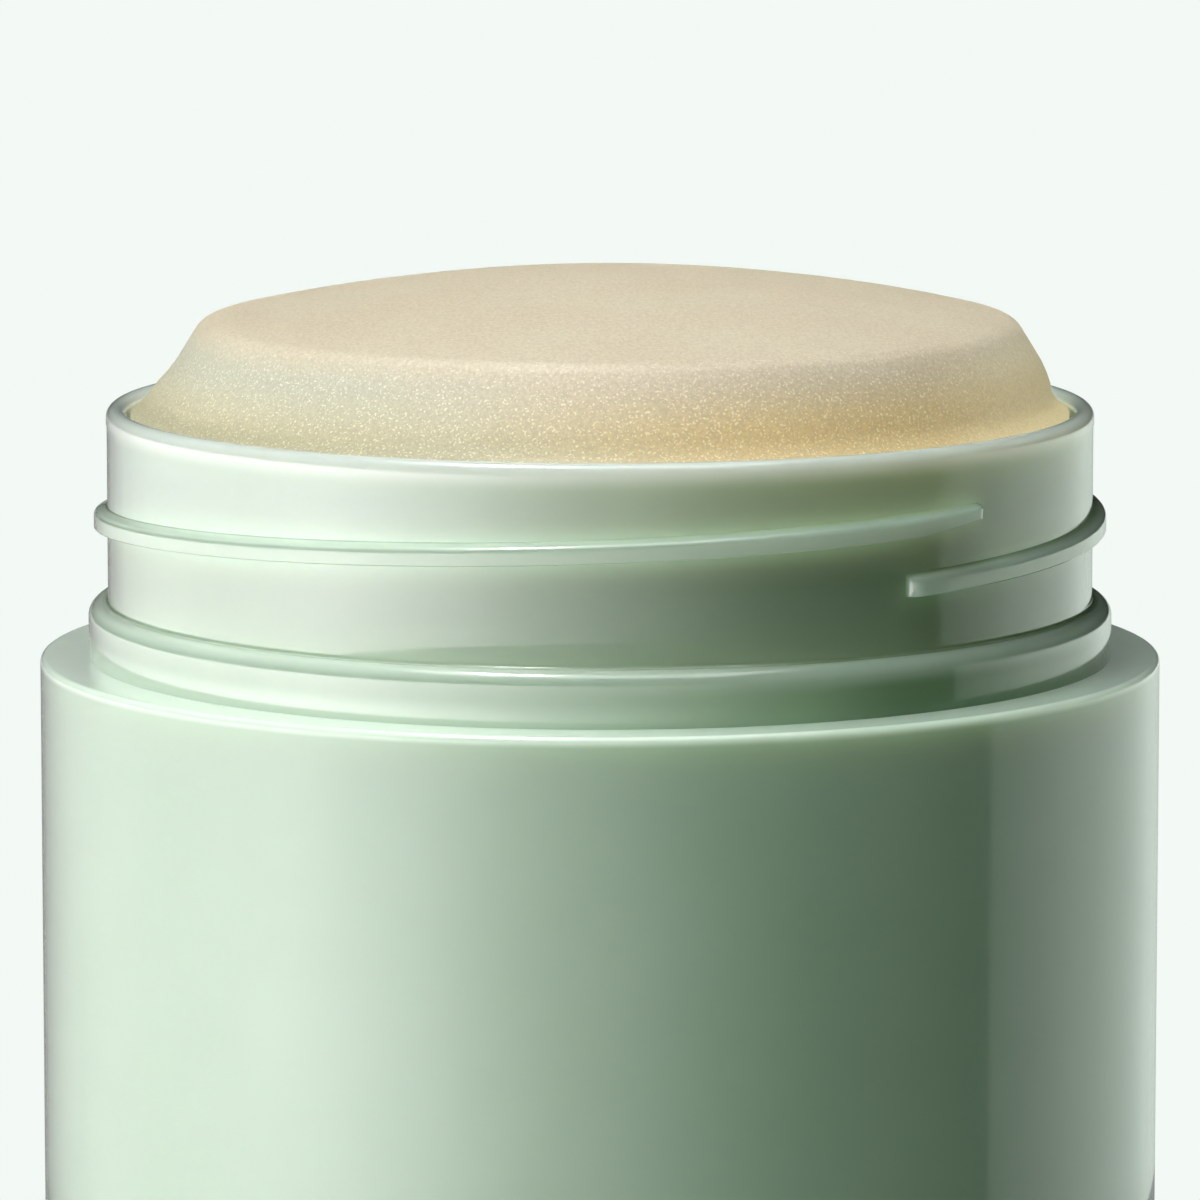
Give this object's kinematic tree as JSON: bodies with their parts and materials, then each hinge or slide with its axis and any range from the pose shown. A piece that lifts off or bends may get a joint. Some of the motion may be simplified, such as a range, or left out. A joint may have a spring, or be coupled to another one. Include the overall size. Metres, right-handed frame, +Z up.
{
  "type": "deodorant stick",
  "caption": "Round twist-up deodorant stick without its cap: domed wax on a screw-driven carrier inside a threaded-neck container with a turning base dial.",
  "frame": {"origin": "centre of the foot ring's plane, on the table under the dial", "axes": "+Z up along the stick's axis, -Y towards the front that the picture shows, +X to its right"},
  "size_m": [0.05, 0.05, 0.0854],
  "materials": {
    "sleeve_plastic": "high gloss, pale sage green",
    "barrel_plastic": "high gloss, pale sage green, slightly translucent",
    "dial_plastic": "high gloss, pale sage green",
    "screw_plastic": "satin, natural white",
    "carrier_plastic": "satin, natural white",
    "wax": "translucent cream wax with fine grain"
  },
  "bodies": {
    "container": {"outer_sleeve": "sleeve_plastic", "inner_barrel": "barrel_plastic"},
    "dial": {"base_dial": "dial_plastic", "lead_screw": "screw_plastic"},
    "stick": {"carrier": "carrier_plastic", "wax_stick": "wax"}
  },
  "joints": [
    {"name": "dial_turn", "type": "hinge", "parent": "container", "child": "dial", "pos_m": [0, 0, 0], "axis": [0, 0, 1], "range_deg": [0, 3600]},
    {"name": "carrier_rise", "type": "slide", "parent": "container", "child": "stick", "axis": [0, 0, 1], "range_m": [0, 0.05]}
  ],
  "couplings": [
    {"joint": "dial_turn", "follows": "carrier_rise", "rad_per_m": 1256.6}
  ]
}
